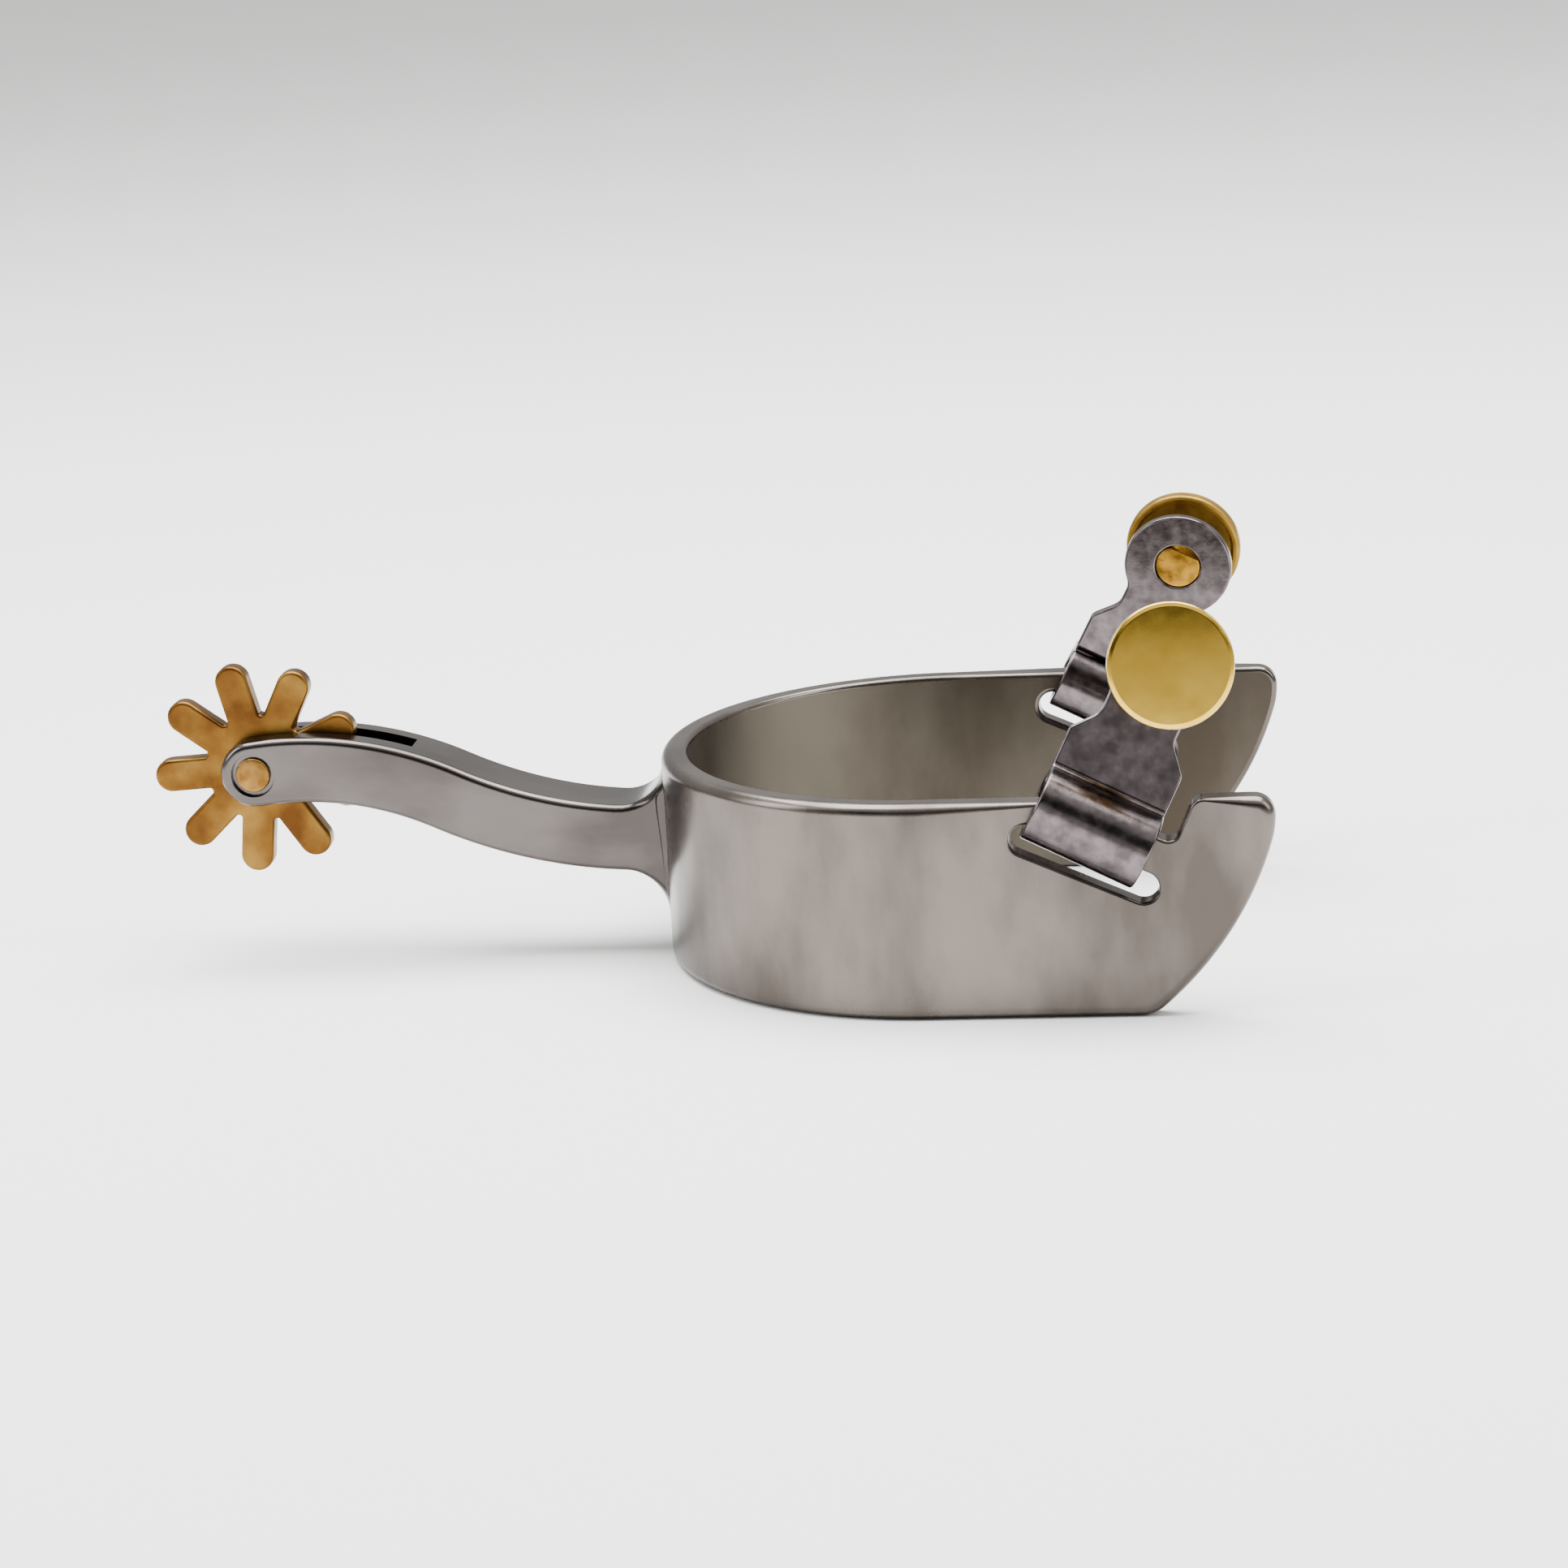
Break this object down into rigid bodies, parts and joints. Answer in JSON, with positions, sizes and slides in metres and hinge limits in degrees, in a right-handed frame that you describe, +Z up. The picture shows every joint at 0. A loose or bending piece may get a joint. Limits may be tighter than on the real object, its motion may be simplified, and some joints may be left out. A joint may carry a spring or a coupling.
{
  "type": "western spur",
  "caption": "Western riding spur with a polished steel heel band, a forked curved shank, a free-turning brass rowel and hinged strap hangers with brass buttons.",
  "frame": {"origin": "on the level of the heel band's lower edge, below the middle of the spur's whole length and width", "axes": "+X from the rowel towards the band's open end, +Y to the left side, +Z up"},
  "size_m": [0.17, 0.09, 0.0595],
  "materials": {
    "band_steel": "polished, with a faint satin grain",
    "hanger_steel": "polished sheet with handling scratches",
    "rowel_brass": "tumbled, patchy brown tarnish",
    "pin_brass": "peened and lightly tarnished",
    "button_brass": "polished"
  },
  "bodies": {
    "frame": {"heel_band": "band_steel", "shank": "band_steel", "rowel_pin": "pin_brass"},
    "rowel": {"rowel": "rowel_brass"},
    "left_hanger": {"left_hanger": "hanger_steel", "left_button_post": "button_brass", "left_button": "button_brass"},
    "right_hanger": {"right_hanger": "hanger_steel", "right_button_post": "button_brass", "right_button": "button_brass"}
  },
  "joints": [
    {"name": "rowel_spin", "type": "hinge", "parent": "frame", "child": "rowel", "pos_m": [-0.06871, 0, 0.02953], "axis": [0, 1, 0], "continuous": true},
    {"name": "left_hanger_swing", "type": "hinge", "parent": "frame", "child": "left_hanger", "pos_m": [0.05924, 0.0395, 0.0275], "axis": [-0.891, 0, 0.454], "range_deg": [-130, 140]},
    {"name": "right_hanger_swing", "type": "hinge", "parent": "frame", "child": "right_hanger", "pos_m": [0.05924, -0.0395, 0.0275], "axis": [0.891, 0, -0.454], "range_deg": [-130, 140]}
  ]
}
